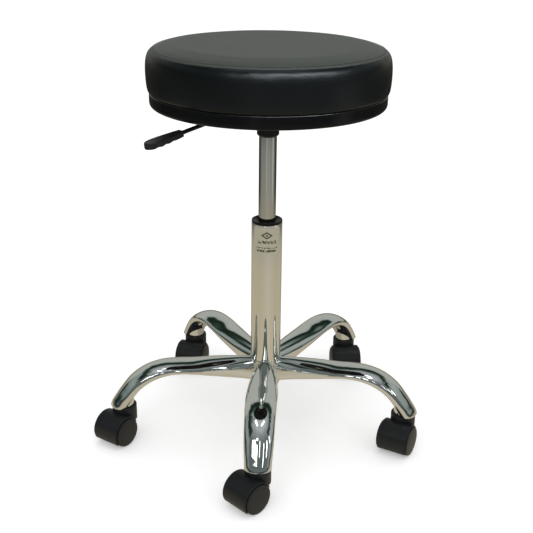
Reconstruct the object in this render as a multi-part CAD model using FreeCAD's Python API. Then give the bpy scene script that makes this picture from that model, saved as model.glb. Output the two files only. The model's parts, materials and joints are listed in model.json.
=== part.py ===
import FreeCAD, Part
import math
import os

# Height-adjustable round stool on a five-leg caster base.
# Lengths in millimetres, angles in degrees. Z is up, the front is -Y and the
# right is +X. The pieces are built about the column axis; save() then moves
# them so the origin is the middle of the footprint box on the floor.

Vec = FreeCAD.Vector
ORIGIN = Vec(0, 0, 0)
X_AXIS, Y_AXIS, Z_AXIS = Vec(1, 0, 0), Vec(0, 1, 0), Vec(0, 0, 1)
AXIS_OFFSET = Vec(15.31, 35.20, 0)   # column axis in the finished frame

GAP = 0.05            # running clearance
SNUG = 0.02           # clearance between fixed parts
TINY = 1e-6           # tolerance of the edge selectors

# Dimensions shared between sections
BOARD_Z = (566.0, 576.0)
LEVER_AZ = -135.0     # azimuth of the lever; the seat plate is square to it
CYL_R, CYL_BORE = 14.0, 12.0        # gas cylinder
ROD_R = 5.0
COL_R, COL_BORE = 25.0, 23.0
COL_TOP = 360.5
HUB_R = 26.0
STEM_CIRCLE = 243.0   # radius of the circle of caster stems
STEM_R = 5.5
NECK_TOP = 60.0       # top of the caster hood

FRONT_AZ = -92.14
LEG_PITCH = 360.0 / 5
LEG_AZ = {"front": FRONT_AZ,
          "front_left": FRONT_AZ - LEG_PITCH,
          "front_right": FRONT_AZ + LEG_PITCH,
          "rear_left": FRONT_AZ + 3 * LEG_PITCH,
          "rear_right": FRONT_AZ + 2 * LEG_PITCH}

os.makedirs("parts", exist_ok=True)


# ========================= helpers =====================================
def cyl(radius, z0, z1, x=0.0, y=0.0):
    return Part.makeCylinder(radius, z1 - z0, Vec(x, y, z0), Z_AXIS)


def tube(radius, bore, z0, z1, x=0.0, y=0.0):
    return cyl(radius, z0, z1, x, y).cut(cyl(bore, z0 - 1, z1 + 1, x, y))


def cross_cyl(radius, length, x, z):
    """Cylinder along Y, centred on the XZ plane."""
    return Part.makeCylinder(radius, length, Vec(x, -length / 2, z), Y_AXIS)


def spun(outline, axis=Z_AXIS):
    """Solid of revolution from an open list of (x, z) corners."""
    corners = [Vec(x, 0, z) for x, z in outline]
    corners.append(corners[0])
    return Part.Face(Part.makePolygon(corners)).revolve(ORIGIN, axis, 360)


def polar(azimuth, radius, z=0.0):
    angle = math.radians(azimuth)
    return Vec(radius * math.cos(angle), radius * math.sin(angle), z)


def arc(centre, radius, angles):
    """(x, z) points on an arc, angles measured downwards from +X."""
    return [(centre[0] + radius * math.cos(math.radians(angle)),
             centre[1] - radius * math.sin(math.radians(angle))) for angle in angles]


def turned(shape, azimuth):
    copy = shape.copy()
    copy.rotate(ORIGIN, Z_AXIS, azimuth)
    return copy


def rounded(shape, radius, wanted):
    """Fillet the edges whose bounding box passes the test."""
    return shape.makeFillet(radius, [e for e in shape.Edges if wanted(e.BoundBox)])


def largest_solid(shape):
    return max(shape.Solids, key=lambda solid: solid.Volume)


def save(shape, node):
    placed = shape.copy()
    placed.translate(AXIS_OFFSET)
    solids = placed.Solids
    assert solids and placed.isValid(), node
    result = solids[0] if len(solids) == 1 else Part.makeCompound(solids)
    result.exportStep("parts/" + node + ".step")


# ========================= cushion =====================================
# side of the cover from its lower edge to the flat top: (radius, height)
SIDE_STATIONS = [
    (182.0, 573.4), (183.8, 578.0), (185.3, 588.0), (186.0, 600.0),
    (185.9, 612.0), (185.0, 621.0), (182.4, 628.6), (176.6, 634.6),
    (167.0, 639.2), (155.0, 641.8), (142.0, 642.4)]
SIDE_START, SIDE_END = (0.35, 1.0), (-1.0, 0.0)    # end directions
CUSHION_FOOT_R, CUSHION_BOTTOM = SIDE_STATIONS[0]
COVER_T = 1.2
FOAM_GAP = 0.2        # clearance between the foam and the cover
FOAM_SPAN_Z = 60.0    # height over which the vertical clearance builds up


def faired(points, start, end, steps=4):
    """Dense points on a smooth curve through the given ones, with the
    direction fixed at both ends and no overshoot where the spacing changes."""
    last = len(points) - 1
    gaps = [math.dist(points[i], points[i + 1]) for i in range(last)]
    tangents = []
    for i in range(last + 1):
        if i in (0, last):
            direction = start if i == 0 else end
            size = math.hypot(*direction)
            tangents.append((direction[0] / size, direction[1] / size))
            continue
        before, after = gaps[i - 1], gaps[i]
        tangents.append(tuple(
            (after * (points[i][k] - points[i - 1][k]) / before
             + before * (points[i + 1][k] - points[i][k]) / after)
            / (after + before) for k in (0, 1)))
    dense = []
    for i in range(last):
        for j in range(steps):
            t = j / steps
            # cubic Hermite weights of the two points and the two tangents
            point0, point1 = 2 * t ** 3 - 3 * t ** 2 + 1, 3 * t ** 2 - 2 * t ** 3
            slope0, slope1 = t ** 3 - 2 * t ** 2 + t, t ** 3 - t ** 2
            dense.append(tuple(
                point0 * points[i][k] + point1 * points[i + 1][k]
                + gaps[i] * (slope0 * tangents[i][k] + slope1 * tangents[i + 1][k])
                for k in (0, 1)))
    return dense + [points[-1]]


def inset(points, distance):
    """The side curve moved inwards, its last point straight down."""
    last = len(points) - 1
    result = []
    for i, (radius, z) in enumerate(points):
        before, after = points[max(i - 1, 0)], points[min(i + 1, last)]
        run, rise = after[0] - before[0], after[1] - before[1]
        if i == last:
            run, rise = SIDE_END
        size = math.hypot(run, rise)
        result.append((radius - distance * rise / size, z + distance * run / size))
    return result


def cushion_solid(side, z_bottom):
    points = [Vec(radius, 0, z) for radius, z in side]
    corner = Vec(side[0][0], 0, z_bottom)
    top, bottom = Vec(0, 0, side[-1][1]), Vec(0, 0, z_bottom)
    curve = Part.BSplineCurve()
    curve.interpolate(Points=points)
    edges = []
    if abs(z_bottom - side[0][1]) > TINY:
        edges.append(Part.makeLine(corner, points[0]))
    edges += [curve.toShape(), Part.makeLine(points[-1], top),
              Part.makeLine(top, bottom), Part.makeLine(bottom, corner)]
    return Part.Face(Part.Wire(edges)).revolve(ORIGIN, Z_AXIS, 360)


def make_foam(inside):
    """The inside of the cover, shrunk about the centre of its lower edge."""
    shrink = FreeCAD.Matrix()
    scale_xy = 1 - FOAM_GAP / CUSHION_FOOT_R
    shrink.scale(scale_xy, scale_xy, 1 - FOAM_GAP / FOAM_SPAN_Z)
    lift = FreeCAD.Matrix()
    lift.move(Vec(0, 0, CUSHION_BOTTOM * FOAM_GAP / FOAM_SPAN_Z))
    above_board = cyl(200, BOARD_Z[1] + SNUG, 660)
    return inside.transformGeometry(shrink).transformGeometry(lift).common(above_board)


side_curve = faired(SIDE_STATIONS, SIDE_START, SIDE_END)
cover_inside = cushion_solid(inset(side_curve, COVER_T), CUSHION_BOTTOM - 1.0)
save(cushion_solid(side_curve, CUSHION_BOTTOM).cut(cover_inside), "cushion_cover")
save(make_foam(cover_inside), "foam_core")

# ========================= seat board and trim ring ====================
BOARD_R = 178.2
SCREW_R = 3.0
SCREW_DX, SCREW_DY = 74.0, 50.0
SCREW_POINTS = [(sx * SCREW_DX, sy * SCREW_DY) for sx in (-1, 1) for sy in (-1, 1)]

RING_R, RING_BORE = 181.5, 167.0
RING_TOP, RING_BOTTOM = 572.0, 551.5
RING_T = 3.0
RING_FLANGE_T = 2.6
RING_CORNER = 7.0     # outer radius of the rounded lower edge
RING_CHAMFER = 0.8


def make_board():
    """Plywood disc with four blind screw holes, square to the lever."""
    board = cyl(BOARD_R, *BOARD_Z)
    for x, y in SCREW_POINTS:
        hole = cyl(SCREW_R + SNUG, BOARD_Z[0] - 1, BOARD_Z[1] - 0.5, x, y)
        board = board.cut(turned(hole, LEVER_AZ))
    return board


def make_trim_ring():
    """Upright band with a rounded lower edge and an inward flange."""
    corner_r = RING_R - RING_CORNER
    outer_z = RING_BOTTOM + RING_CORNER
    flange_top = RING_BOTTOM + RING_FLANGE_T
    inner_corner = RING_CORNER - RING_T
    inner_z = flange_top + inner_corner
    return spun(
        [(RING_R - RING_T, RING_TOP), (RING_R - RING_CHAMFER, RING_TOP),
         (RING_R, RING_TOP - RING_CHAMFER), (RING_R, outer_z)]
        + arc((corner_r, outer_z), RING_CORNER, [90.0 * k / 8 for k in range(1, 8)])
        + [(corner_r, RING_BOTTOM), (RING_BORE, RING_BOTTOM),
           (RING_BORE, flange_top), (corner_r, flange_top)]
        + arc((corner_r, inner_z), inner_corner, [90.0 - 15.0 * k for k in range(1, 6)])
        + [(RING_R - RING_T, inner_z)])


save(make_board(), "ply_board")
save(make_trim_ring(), "trim_ring")

# ========================= seat mechanism ==============================
# built with X along the lever, then turned to its azimuth
PLATE_L, PLATE_W, PLATE_T = 180.0, 130.0, 3.0
PLATE_TOP = BOARD_Z[0]
PLATE_BOTTOM = PLATE_TOP - PLATE_T
PLATE_CORNER = 12.0
WEB_Z = (546.0, 549.0)
WEB_X, WEB_L = -28.0, 52.0
CHEEK_L, CHEEK_T = 70.0, 2.5
CHEEK_Y = 24.5        # outer face of the cheeks
HEAD_R, HEAD_H, HEAD_ROUND = 6.0, 4.0, 1.2
DRIVE_R, DRIVE_DEPTH = 2.4, 2.2     # round recess in the screw head

SLEEVE_R, SLEEVE_BOTTOM = 16.0, 506.0
COLLAR_R, COLLAR_Z = 17.4, (501.0, 540.0)

LEVER_Z0 = 557.5      # height of the lever line on the column axis
LEVER_SLOPE = -0.137
PIVOT_X = 32.0
PIVOT_Z = LEVER_Z0 + LEVER_SLOPE * PIVOT_X
PIVOT_R = 2.0


def make_seat_plate():
    """Flat plate with two cheeks below it, joined by a web at the bottom."""
    plate = Part.makeBox(PLATE_L, PLATE_W, PLATE_T,
                         Vec(-PLATE_L / 2, -PLATE_W / 2, PLATE_BOTTOM))
    plate = rounded(plate, PLATE_CORNER, lambda box: abs(box.ZLength - PLATE_T) < TINY)
    for y in (-CHEEK_Y, CHEEK_Y - CHEEK_T):
        plate = plate.fuse(Part.makeBox(CHEEK_L, CHEEK_T, PLATE_BOTTOM - WEB_Z[0],
                                        Vec(WEB_X, y, WEB_Z[0])))
    plate = plate.fuse(Part.makeBox(WEB_L, 2 * CHEEK_Y, WEB_Z[1] - WEB_Z[0],
                                    Vec(WEB_X, -CHEEK_Y, WEB_Z[0])))
    plate = plate.cut(cyl(SLEEVE_R + GAP, WEB_Z[0] - 1, WEB_Z[1] + 1))
    plate = plate.cut(cross_cyl(PIVOT_R + SNUG, 60.0, PIVOT_X, PIVOT_Z))
    for x, y in SCREW_POINTS:
        plate = plate.cut(cyl(SCREW_R + 0.2, PLATE_BOTTOM - 1, PLATE_TOP + 1, x, y))
    return plate.removeSplitter()


def make_screw(x, y):
    head_z = PLATE_BOTTOM - HEAD_H
    head = rounded(cyl(HEAD_R, head_z, PLATE_BOTTOM, x, y), HEAD_ROUND,
                   lambda box: abs(box.ZMax - head_z) < TINY and box.ZLength < TINY)
    head = head.cut(cyl(DRIVE_R, head_z, head_z + DRIVE_DEPTH, x, y))
    shank = cyl(SCREW_R, PLATE_BOTTOM - 0.1, BOARD_Z[1] - 1.0, x, y)
    return head.fuse(shank).removeSplitter()


def make_sleeve():
    """Tapered socket in the web; the gas cylinder wedges into it."""
    return spun([(14.06, SLEEVE_BOTTOM), (SLEEVE_R, SLEEVE_BOTTOM),
                 (SLEEVE_R, WEB_Z[1]), (13.46, WEB_Z[1])])


def make_collar():
    """Ring round the sleeve, stepping in to the gas cylinder below it."""
    bottom, top = COLLAR_Z
    step_z = SLEEVE_BOTTOM - 0.1
    return spun([(CYL_R + GAP, bottom), (14.2, bottom), (COLLAR_R, bottom + 3.2),
                 (COLLAR_R, top - 1.0), (16.6, top), (SLEEVE_R + GAP, top),
                 (SLEEVE_R + GAP, step_z), (CYL_R + GAP, step_z)])


save(turned(make_seat_plate(), LEVER_AZ), "seat_plate")
save(make_sleeve(), "plate_sleeve")
save(make_collar(), "sleeve_collar")
save(turned(cross_cyl(PIVOT_R, 52.0, PIVOT_X, PIVOT_Z), LEVER_AZ), "lever_pivot_pin")
save(Part.makeCompound([turned(make_screw(x, y), LEVER_AZ) for x, y in SCREW_POINTS]),
     "plate_screws")

# ========================= gas lift ====================================
CYL_Z = (262.0, 548.0)
CYL_ROOF = 520.0      # underside of the solid upper end
CYL_TAPER_Z = 506.5
PIN_R = 3.0
CLIP_Z = (70.5, 71.9)
GROOVE_R = 4.4
THRUST_R = 11.0       # outer radius of race, cap and bump stop
BALL_COUNT, BALL_R = 10, 1.9
BALL_CIRCLE, BALL_Z = 8.4, 79.0


def make_gas_cylinder():
    bottom, top = CYL_Z
    return spun([(CYL_BORE, bottom), (CYL_R - 0.6, bottom), (CYL_R, bottom + 0.8),
                 (CYL_R, CYL_TAPER_Z), (13.4, top - 1.0), (12.6, top),
                 (PIN_R + GAP, top), (PIN_R + GAP, CYL_ROOF), (CYL_BORE, CYL_ROOF)])


def make_piston_rod():
    """Rod with a groove for the clip at its lower end."""
    groove = tube(9.0, GROOVE_R, CLIP_Z[0] - 0.1, CLIP_Z[1] + GAP)
    return cyl(ROD_R, 69.0, 300.0).cut(groove)


def make_thrust_balls():
    return Part.makeCompound([
        Part.makeSphere(BALL_R, polar(360.0 / BALL_COUNT * k, BALL_CIRCLE, BALL_Z))
        for k in range(BALL_COUNT)])


save(make_gas_cylinder(), "gas_cylinder")
save(tube(CYL_BORE - SNUG, ROD_R + GAP, 263.0, 280.0), "cylinder_gland")
save(cyl(PIN_R, 523.0, 553.8), "release_pin")
save(make_piston_rod(), "piston_rod")
save(tube(CYL_BORE - GAP, ROD_R + 0.01, 286.0, 298.0), "piston_head")
save(tube(8.5, GROOVE_R + SNUG, *CLIP_Z), "rod_clip")
save(tube(THRUST_R, ROD_R + 0.01, 83.1, 103.0), "bump_stop")
save(make_thrust_balls(), "thrust_balls")
save(tube(THRUST_R, ROD_R + 0.01, BALL_Z + BALL_R + GAP, 83.0), "thrust_cap")

# ========================= column ======================================
COL_FOOT, COL_FOOT_R = 67.5, 23.6
FOOT_BORE = COL_FOOT_R - 2.0
TAPER_Z = (COL_FOOT + 1.5, 124.0)
END_PLATE_Z = (72.0, 75.0)
HUB_Z = (74.5, 118.0)
LABEL_Z = (313.0, 357.0)
LABEL_HALF_ANGLE = 54.0


def make_column():
    return spun([(COL_BORE, COL_TOP), (COL_R - 0.2, COL_TOP), (COL_R, COL_TOP - 0.3),
                 (COL_R, TAPER_Z[1]), (COL_FOOT_R, TAPER_Z[0]),
                 (COL_FOOT_R - 1.2, COL_FOOT), (FOOT_BORE, COL_FOOT),
                 (FOOT_BORE, 74.0), (COL_BORE, TAPER_Z[1])])


def make_bushing():
    """Guide for the gas cylinder, with a lip over the top of the column."""
    inner_r, outer_r = CYL_R + GAP, COL_BORE - GAP
    seat_z = COL_TOP + SNUG
    return spun([(inner_r, 290.0), (outer_r, 290.0), (outer_r, seat_z),
                 (COL_R - 0.2, seat_z), (COL_R - 0.1, COL_TOP + 3.2),
                 (COL_R - 0.7, COL_TOP + 3.9), (COL_R - 1.9, COL_TOP + 3.9),
                 (16.0, COL_TOP + 1.4), (inner_r, COL_TOP + 1.2)])


def make_label():
    """Thin plain sticker wrapped round the front of the column."""
    sheet = tube(COL_R + 0.26, COL_R + 0.01, *LABEL_Z)
    wedge = Part.Face(Part.makePolygon([
        Vec(0, 0, 300), polar(-90 - LABEL_HALF_ANGLE, 80, 300), Vec(0, -110, 300),
        polar(-90 + LABEL_HALF_ANGLE, 80, 300), Vec(0, 0, 300)])).extrude(Vec(0, 0, 70))
    return sheet.common(wedge)


def make_hub():
    """Sleeve fitted over the tapered foot of the column."""
    def bore(z):
        taper = (COL_R - COL_FOOT_R) / (TAPER_Z[1] - TAPER_Z[0])
        return COL_R + SNUG - taper * (TAPER_Z[1] - z)

    bottom, top = HUB_Z
    return spun([(HUB_R, bottom), (HUB_R, top), (bore(top), top), (bore(bottom), bottom)])


save(make_column(), "column_tube")
save(tube(FOOT_BORE - SNUG, ROD_R + GAP, *END_PLATE_Z), "column_end_plate")
save(tube(THRUST_R, 6.2, END_PLATE_Z[1] + GAP, BALL_Z - BALL_R - GAP), "thrust_race")
save(make_bushing(), "guide_bushing")
save(make_label(), "column_label")
save(make_hub(), "hub_sleeve")

# ========================= legs ========================================
# leg centreline: radius, height, slope angle, half width, half height
LEG_STATIONS = [
    (20.0, 97.5, 12.5, 13.5, 21.5), (45.5, 102.8, 10.7, 18.6, 19.5),
    (71.2, 107.2, 8.9, 22.2, 17.3), (96.9, 111.0, 8.1, 23.8, 14.7),
    (122.7, 114.6, 8.0, 24.8, 11.6), (148.5, 118.2, 7.4, 25.1, 10.1),
    (174.5, 118.3, -6.9, 24.7, 10.7), (199.7, 112.0, -21.6, 23.9, 11.7),
    (221.7, 98.4, -41.5, 23.0, 11.8), (237.6, 80.4, -53.0, 22.0, 11.9),
    (246.5, 67.5, -66.0, 21.0, 12.6), (251.6, 58.0, -80.0, 20.5, 13.6),
    (252.6, 48.0, -88.0, 20.3, 14.2)]
LEG_WALL = 1.8
LEG_END_Z = 60.6
SOCKET_R, SOCKET_BORE = 16.0, 6.4
SOCKET_Z = 60.9       # lower end of the caster socket


def up_vector(slope):
    angle = math.radians(slope)
    return Vec(-math.sin(angle), 0, math.cos(angle))


def oval_points(station, shrink, angles):
    """Points on the oval square to the leg centreline at a station."""
    x, z, slope, half_width, half_height = station
    up = up_vector(slope)
    return [Vec(x, 0, z) + Vec(0, (half_width - shrink) * math.cos(angle), 0)
            + up * ((half_height - shrink) * math.sin(angle)) for angle in angles]


def oval_section(station, shrink):
    curve = Part.BSplineCurve()
    curve.interpolate(
        Points=oval_points(station, shrink, [2 * math.pi * k / 20 for k in range(20)]),
        PeriodicFlag=True)
    return Part.Wire([curve.toShape()])


def arched_section(station, shrink):
    """Upper half of the oval with straight sides carried well below it."""
    arch = oval_points(station, shrink, [math.pi * k / 12 for k in range(13)])
    curve = Part.BSplineCurve()
    curve.interpolate(Points=arch)
    drop = up_vector(station[2]) * 60.0
    low_start, low_end = arch[0] - drop, arch[-1] - drop
    return Part.Wire([curve.toShape(), Part.makeLine(arch[-1], low_end),
                      Part.makeLine(low_end, low_start), Part.makeLine(low_start, arch[0])])


def leg_loft(section, stations, shrink):
    return Part.makeLoft([section(station, shrink) for station in stations], True, False)


def make_leg(under_top):
    leg = leg_loft(oval_section, LEG_STATIONS, 0.0).cut(
        leg_loft(oval_section, LEG_STATIONS, LEG_WALL))
    leg = leg.common(Part.makeBox(400, 200, 200, Vec(-20, -100, LEG_END_Z)))
    leg = leg.cut(cyl(HUB_R + 0.01, 40, 160))
    leg = leg.cut(cyl(SOCKET_R + 0.01, 40, 110, STEM_CIRCLE).common(under_top))
    return largest_solid(leg)


def make_socket(leg, under_top):
    """Upright socket inside the end of the leg, bored for the caster stem."""
    socket = cyl(SOCKET_R, SOCKET_Z, 104.0, STEM_CIRCLE).common(under_top)
    socket = socket.cut(cyl(SOCKET_BORE, 60.0, 74.0, STEM_CIRCLE)).cut(leg)
    return largest_solid(socket)


def make_stem():
    """Caster stem with a thin flange between hood and socket."""
    flange = cyl(9.5, NECK_TOP + 0.1, SOCKET_Z - GAP, STEM_CIRCLE)
    return cyl(STEM_R, 37.0, 72.8, STEM_CIRCLE).fuse(flange).removeSplitter()


# everything under the inside of the leg's top wall near the caster socket
wall_underside = leg_loft(arched_section, LEG_STATIONS[-6:], LEG_WALL + 0.2)
leg_solid = make_leg(wall_underside)
for name, azimuth in LEG_AZ.items():
    save(turned(leg_solid, azimuth), "leg_" + name)

grip_ring = tube(SOCKET_BORE - SNUG, STEM_R + SNUG, 63.0, 71.0, STEM_CIRCLE)
for shape, node in ((make_socket(leg_solid, wall_underside), "caster_sockets"),
                    (make_stem(), "caster_stems"),
                    (grip_ring, "stem_grip_rings")):
    save(Part.makeCompound([turned(shape, azimuth) for azimuth in LEG_AZ.values()]), node)

# ========================= casters =====================================
# local frame: swivel axis on Z, axle along X, wheels trail towards -Y
CASTER_AZ = {"front": -45.1, "front_left": -33.9, "front_right": -29.5,
             "rear_left": -14.0, "rear_right": 5.0}
WHEEL_R = 24.5
WHEEL_OFFSET = 23.4   # from the swivel axis back to the axle
AXLE_R, AXLE_HALF = 3.0, 21.6
HOOD_R, HOOD_BORE = 26.8, 25.1
HOOD_HALF = 24.5      # half the width of the hood
HOOD_BOTTOM = 10.0
FRONT_OPENING_TOP = 34.0
NECK_R = 20.0
WEB_HALF = 7.0        # half thickness of the web between the wheels
WELL_L = 33.0         # length of the cut that forms each wheel well

# right-hand wheel: distance from the web centre along the axle, radius
WHEEL_OUTLINE = [
    (8.0, AXLE_R + GAP), (8.0, 23.5), (9.0, WHEEL_R), (22.6, WHEEL_R), (23.4, 23.8),
    (25.7, 23.8), (26.5, 23.2), (26.9, 22.2), (27.5, 17.0), (27.9, 9.0), (28.0, 0.0),
    (22.0, 0.0), (22.0, AXLE_R + GAP)]


def axle_cyl(radius, x0, x1):
    return Part.makeCylinder(radius, x1 - x0, Vec(x0, -WHEEL_OFFSET, WHEEL_R), X_AXIS)


def make_hood():
    """Round shell over both wheels, with a neck and a web between them."""
    body = rounded(axle_cyl(HOOD_R, -HOOD_HALF, HOOD_HALF), 1.6,
                   lambda box: box.XLength < TINY)
    body = body.fuse(cyl(NECK_R, 30.0, NECK_TOP))
    # soften the concave line where the neck grows out of the shell
    joint_edges = [e for e in body.Edges
                   if 46 < e.BoundBox.ZMax < NECK_TOP - 2 and e.BoundBox.YMax < 2
                   and e.BoundBox.XLength > 20 and e.BoundBox.YLength > 2]
    # guards against an empty selection, which cannot be filleted
    if joint_edges:
        body = body.makeFillet(3.0, joint_edges)
    body = rounded(body, 1.2, lambda box: abs(box.ZMin - NECK_TOP) < TINY)
    for x0 in (-WEB_HALF - WELL_L, WEB_HALF):
        body = body.cut(axle_cyl(HOOD_BORE, x0, x0 + WELL_L))
    # open under the hood, and open on the leading side below the neck
    body = body.cut(Part.makeBox(120, 120, 40, Vec(-60, -60, HOOD_BOTTOM - 40)))
    body = body.cut(Part.makeBox(
        120, 60, 60, Vec(-60, -WHEEL_OFFSET + 12.0, FRONT_OPENING_TOP - 60)))
    body = body.cut(cyl(STEM_R + GAP, 36.0, NECK_TOP + 1))
    body = body.cut(axle_cyl(AXLE_R + 0.01, -WEB_HALF - 1, WEB_HALF + 1))
    return largest_solid(body.removeSplitter())


def make_wheel(facing):
    wheel = turned(spun(WHEEL_OUTLINE, X_AXIS), facing)
    wheel.translate(Vec(0, -WHEEL_OFFSET, WHEEL_R))
    return wheel


caster_pieces = {"hood": make_hood(),
                 "axle": axle_cyl(AXLE_R, -AXLE_HALF, AXLE_HALF),
                 "wheel_right": make_wheel(0),
                 "wheel_left": make_wheel(180)}
for name, azimuth in LEG_AZ.items():
    for piece, shape in caster_pieces.items():
        placed = turned(shape, CASTER_AZ[name])
        placed.translate(polar(azimuth, STEM_CIRCLE))
        save(placed, "caster_" + name + "_" + piece)

# ========================= lever =======================================
# local frame: the lever runs along +X from the column axis, tilted down
LEVER_TILT = math.degrees(math.atan(-LEVER_SLOPE))
LEVER_R = 3.0
HANDLE_X, HANDLE_L = 175.5, 65.0    # start of the handle and its length
# one edge of the handle: distance from its start, half width
HANDLE_EDGE = [(0, 5.6), (12, 7.6), (30, 9.8), (48, 10.8), (57, 9.4), (62.5, 5.6)]
GROOVES = (22.0, 36.0, 50.0)        # underside grooves, from the handle start


def lever_place(shape):
    placed = shape.copy()
    placed.rotate(ORIGIN, Y_AXIS, LEVER_TILT)
    placed.translate(Vec(0, 0, LEVER_Z0))
    placed.rotate(ORIGIN, Z_AXIS, LEVER_AZ)
    return placed


def make_lever_rod():
    """Round rod with a cross barrel on the pivot pin."""
    pivot = PIVOT_X / math.cos(math.radians(LEVER_TILT))
    lever = Part.makeCylinder(LEVER_R, 214.0, Vec(-8, 0, 0), X_AXIS)
    lever = lever.fuse(cross_cyl(5.0, 42.0, pivot, 0))
    lever = lever.cut(cross_cyl(PIVOT_R + GAP, 60.0, pivot, 0))
    return lever.removeSplitter()


def make_handle():
    """Flat paddle with three grooves across its underside."""
    edge = [Vec(HANDLE_X + x, -y, 0) for x, y in HANDLE_EDGE]
    mirrored = [Vec(HANDLE_X + x, y, 0) for x, y in reversed(HANDLE_EDGE)]
    curve = Part.BSplineCurve()
    curve.interpolate(edge + [Vec(HANDLE_X + HANDLE_L, 0, 0)] + mirrored)
    wire = Part.Wire([curve.toShape(), Part.makeLine(mirrored[-1], edge[0])])
    paddle = Part.Face(wire).extrude(Vec(0, 0, 9.0))
    paddle.translate(Vec(0, 0, -4.6))
    paddle = rounded(paddle, 1.6, lambda box: box.ZLength < TINY and box.XLength > 20)
    for x in GROOVES:
        paddle = paddle.cut(cross_cyl(11.0, 40.0, HANDLE_X + x, -14.1))
    return paddle.cut(
        Part.makeCylinder(LEVER_R + SNUG, 32.0, Vec(HANDLE_X - 1, 0, 0), X_AXIS))


save(lever_place(make_lever_rod()), "lever_rod")
save(lever_place(make_handle()), "lever_handle")
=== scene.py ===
# A round padded stool: cushion on a gas cylinder and column, over five curved chrome legs
# with twin-wheel casters. +Z is up, the floor is z = 0, the front (camera side) is -Y and
# right is +X. Outlines are in millimetres and are scaled to metres with MM.
import bpy, bmesh, math, json
from mathutils import Vector, Matrix, noise
from mathutils.bvhtree import BVHTree

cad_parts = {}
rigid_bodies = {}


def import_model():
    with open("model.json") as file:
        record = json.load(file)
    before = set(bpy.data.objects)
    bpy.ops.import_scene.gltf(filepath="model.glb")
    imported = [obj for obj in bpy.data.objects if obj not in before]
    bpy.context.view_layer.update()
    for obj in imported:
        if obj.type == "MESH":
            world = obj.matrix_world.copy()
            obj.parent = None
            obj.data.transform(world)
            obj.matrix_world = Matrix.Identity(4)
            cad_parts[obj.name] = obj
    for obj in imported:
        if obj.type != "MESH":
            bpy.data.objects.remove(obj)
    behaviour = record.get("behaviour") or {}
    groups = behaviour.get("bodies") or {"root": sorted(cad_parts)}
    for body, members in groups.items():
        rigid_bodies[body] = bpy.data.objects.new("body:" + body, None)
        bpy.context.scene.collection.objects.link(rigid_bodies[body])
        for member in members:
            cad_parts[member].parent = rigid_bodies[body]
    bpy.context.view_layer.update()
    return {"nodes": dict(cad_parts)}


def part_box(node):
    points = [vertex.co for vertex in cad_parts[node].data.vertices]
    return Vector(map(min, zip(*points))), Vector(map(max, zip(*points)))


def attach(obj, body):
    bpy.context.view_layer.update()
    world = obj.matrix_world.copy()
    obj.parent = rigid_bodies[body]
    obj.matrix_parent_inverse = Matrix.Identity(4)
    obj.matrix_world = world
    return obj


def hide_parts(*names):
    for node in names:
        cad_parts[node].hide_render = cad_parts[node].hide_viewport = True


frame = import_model()

# ---------------------------------------------------------------- driving dimensions
MM = 0.001
tube_low, tube_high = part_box("column_tube")
AXIS_X = (tube_low[0] + tube_high[0]) / 2
AXIS_Y = (tube_low[1] + tube_high[1]) / 2

ROD_R = 14.0              # gas cylinder
TUBE_R = 25.0             # column tube, outside
TUBE_BORE_R = 23.0
HUB_R = 26.0              # hub sleeve, outside
FIT = 0.05                # radial gap between nested parts

# Leg azimuths in degrees, anticlockwise from +X seen from above
LEG_PITCH = 360.0 / 5
FRONT_AZ = -92.14
LEG_AZ = {name: FRONT_AZ + turns * LEG_PITCH for name, turns in (
    ("front", 0), ("front_left", -1), ("front_right", 1), ("rear_left", 3), ("rear_right", 2))}


# ---------------------------------------------------------------- mesh helpers
def new_object(name, bm, material=None, angle=None):
    """Smooth-shaded object from bm; edges steeper than angle (degrees) are marked sharp."""
    mesh = bpy.data.meshes.new(name)
    bmesh.ops.recalc_face_normals(bm, faces=bm.faces)
    bm.to_mesh(mesh)
    bm.free()
    ob = bpy.data.objects.new(name, mesh)
    bpy.context.scene.collection.objects.link(ob)
    mesh.polygons.foreach_set("use_smooth", [True] * len(mesh.polygons))
    if angle is not None:
        mesh.set_sharp_from_angle(angle=math.radians(angle))
    if material:
        mesh.materials.append(material)
    return ob


def declare(ob, rides, replaces=None):
    if replaces:
        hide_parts(replaces)
    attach(ob, rides)


def full_turn(count):
    return [2 * math.pi * k / count for k in range(count)]


def axis_circle(bm, radius, height, segments):
    """Ring of vertices about the column axis, sizes in mm."""
    return [bm.verts.new((AXIS_X + radius * MM * math.cos(a),
                          AXIS_Y + radius * MM * math.sin(a), height * MM))
            for a in full_turn(segments)]


def cord_ring(bm, centre, across, outward, radius, sides):
    """Ring of vertices round one point of a thin cord."""
    return [bm.verts.new(centre + across * (radius * math.cos(a)) + outward * (radius * math.sin(a)))
            for a in full_turn(sides)]


def join_rings(bm, first, second):
    count = len(first)
    for k in range(count):
        after = (k + 1) % count
        bm.faces.new((first[k], first[after], second[after], second[k]))


def rounded(outline, radii, steps):
    """Round the corners of a closed (r, z) outline; corners past the end of radii stay sharp."""
    out = []
    count = len(outline)
    for i in range(count):
        corner = Vector(outline[i])
        radius = radii[i] if i < len(radii) else 0.0
        if radius <= 0:
            out.append(tuple(corner))
            continue
        back = Vector(outline[i - 1]) - corner
        ahead = Vector(outline[(i + 1) % count]) - corner
        back_length, ahead_length = back.length, ahead.length
        back.normalize()
        ahead.normalize()
        cut = min(radius / math.tan(back.angle(ahead) / 2), back_length * 0.49, ahead_length * 0.49)
        start, end = corner + back * cut, corner + ahead * cut
        for k in range(steps + 1):
            t = k / steps
            out.append(tuple(start * (1 - t) ** 2 + corner * 2 * t * (1 - t) + end * t * t))
    return out


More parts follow.
